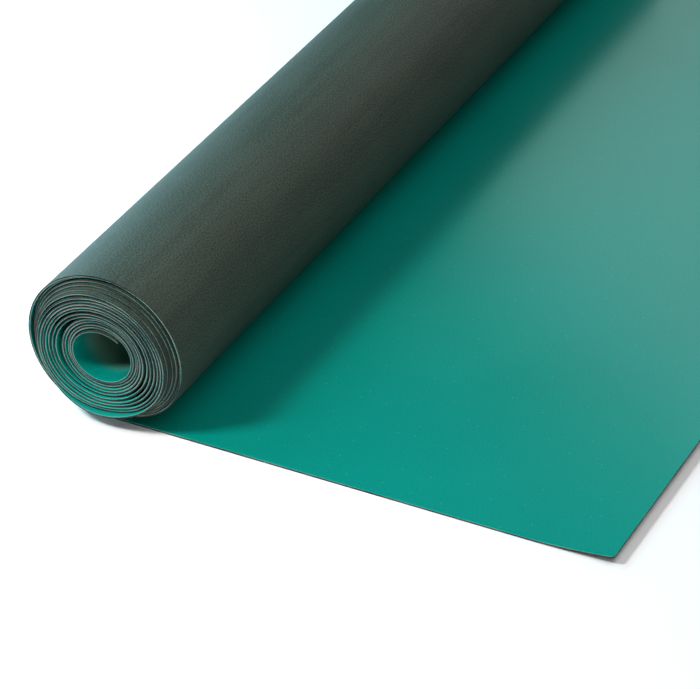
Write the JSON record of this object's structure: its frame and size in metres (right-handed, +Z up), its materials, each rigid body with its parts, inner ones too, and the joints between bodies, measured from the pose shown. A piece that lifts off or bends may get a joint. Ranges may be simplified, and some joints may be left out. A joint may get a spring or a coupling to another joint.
{
  "type": "anti static bench mat",
  "caption": "Two-layer rubber bench mat, mostly wound into a roll with an open bore, its last stretch laid out flat with the free end curling up.",
  "frame": {"origin": "middle of the mat's outline on the floor: halfway along the roll, and halfway between the roll's outer side and the free end", "axes": "+X from the roll towards the free end, +Y along the roll's axis away from the pictured end, +Z up"},
  "size_m": [0.5944, 1.218, 0.1512],
  "materials": {
    "mat_rubber": "satin, green work face, charcoal back"
  },
  "bodies": {
    "root": {"mat": "mat_rubber"}
  },
  "joints": []
}
